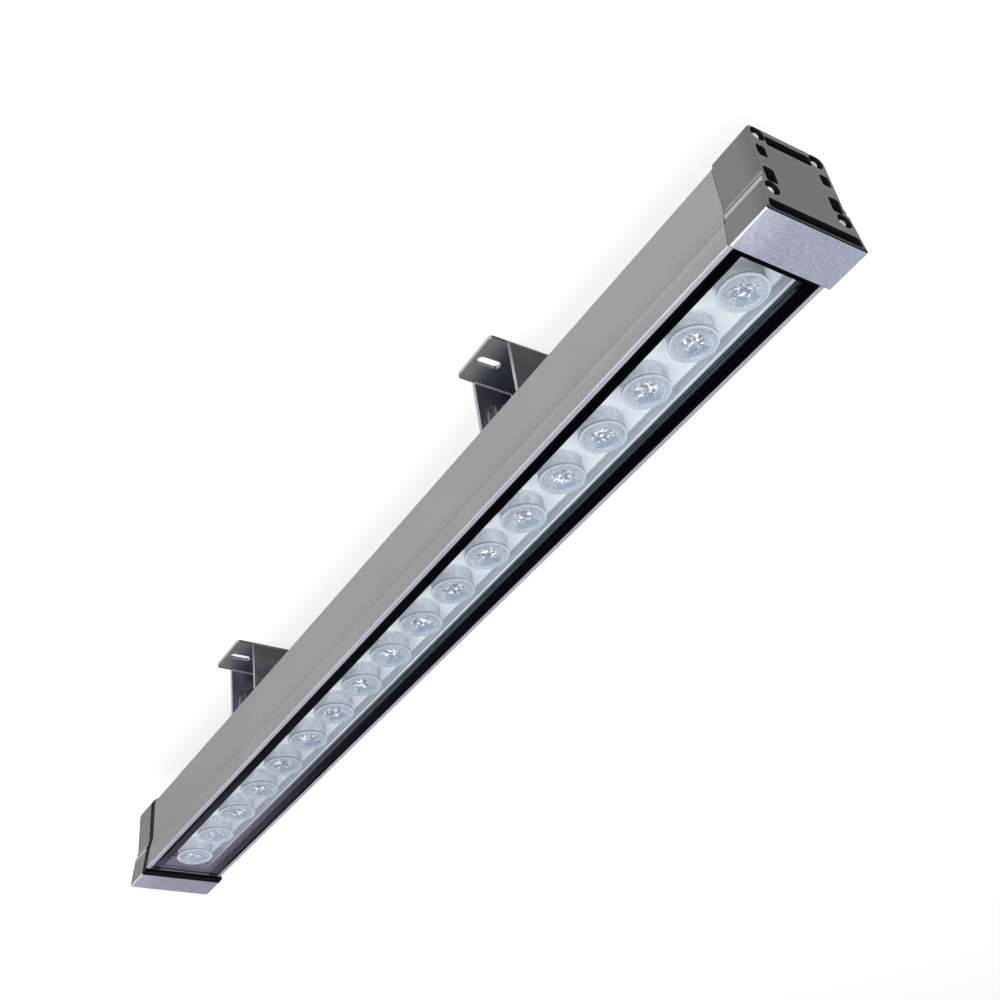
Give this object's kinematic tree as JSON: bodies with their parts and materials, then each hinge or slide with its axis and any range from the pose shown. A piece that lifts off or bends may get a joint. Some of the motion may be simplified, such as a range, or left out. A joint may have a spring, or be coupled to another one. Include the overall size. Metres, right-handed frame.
{
  "type": "outdoor wall washer light",
  "caption": "Linear outdoor wall washer light: extruded housing with a glass window over a row of lenses, cast end caps and two tilting slotted brackets that slide along its back.",
  "frame": {"origin": "on the surface that the two bracket bases stand on, midway along and across the whole light with its cable gland", "axes": "+X along the light towards the end cap without the gland, +Z out of the window, +Y across the light"},
  "size_m": [0.616, 0.0504, 0.0905],
  "materials": {
    "anodised_aluminium": "satin anodised extrusion, grey",
    "cast_aluminium": "brushed die casting, grey",
    "glass_clear": "clear tempered sheet",
    "black_silicone": "matt black silicone",
    "black_rubber": "matt black rubber",
    "board_white": "white solder mask on an aluminium board",
    "heat_pad": "soft thermal pad",
    "emitter": "phosphor dome on a white ceramic base",
    "lens_clear": "clear moulded lens",
    "holder_white": "white moulded holder",
    "driver_case": "plain aluminium case",
    "lead_red": "wire insulation",
    "stainless": "stainless fasteners",
    "stainless_polished": "polished stainless sheet",
    "passivated_steel": "yellow passivated steel",
    "gland_steel": "nickel-plated gland"
  },
  "bodies": {
    "light": {"housing": "anodised_aluminium", "glass": "glass_clear", "glass_seal": "black_silicone", "light_board": "board_white", "heat_pad": "heat_pad", "emitters": "emitter", "lens_holders": "holder_white", "lenses": "lens_clear", "driver": "driver_case", "board_leads": "lead_red", "cap_near": "cast_aluminium", "cap_far": "cast_aluminium", "gasket_near": "black_rubber", "gasket_far": "black_rubber", "cap_screws_near": "stainless", "cap_screws_far": "stainless", "gland_body": "gland_steel", "gland_seal": "black_rubber", "gland_nut": "gland_steel"},
    "foot_near": {"foot_near": "stainless_polished", "clamp_bolt_near": "stainless", "clamp_washer_near": "stainless", "clamp_nut_near": "stainless", "tilt_bolts_near": "stainless_polished", "tilt_washers_near": "passivated_steel", "tilt_nuts_near": "passivated_steel"},
    "yoke_near": {"yoke_near": "stainless_polished"},
    "foot_far": {"foot_far": "stainless_polished", "clamp_bolt_far": "stainless", "clamp_washer_far": "stainless", "clamp_nut_far": "stainless", "tilt_bolts_far": "stainless_polished", "tilt_washers_far": "passivated_steel", "tilt_nuts_far": "passivated_steel"},
    "yoke_far": {"yoke_far": "stainless_polished"}
  },
  "joints": [
    {"name": "slide_near", "type": "slide", "parent": "light", "child": "foot_near", "axis": [1, 0, 0], "range_m": [-0.056, 0.118]},
    {"name": "slide_far", "type": "slide", "parent": "light", "child": "foot_far", "axis": [-1, 0, 0], "range_m": [-0.104, 0.07]},
    {"name": "tilt_near", "type": "hinge", "parent": "foot_near", "child": "yoke_near", "pos_m": [0.124, 0, 0.0225], "axis": [1, 0, 0], "range_deg": [-90, 90]},
    {"name": "tilt_far", "type": "hinge", "parent": "foot_far", "child": "yoke_far", "pos_m": [-0.156, 0, 0.0225], "axis": [1, 0, 0], "range_deg": [-90, 90]}
  ],
  "couplings": [
    {"joint": "tilt_far", "follows": "tilt_near", "ratio": 1}
  ]
}
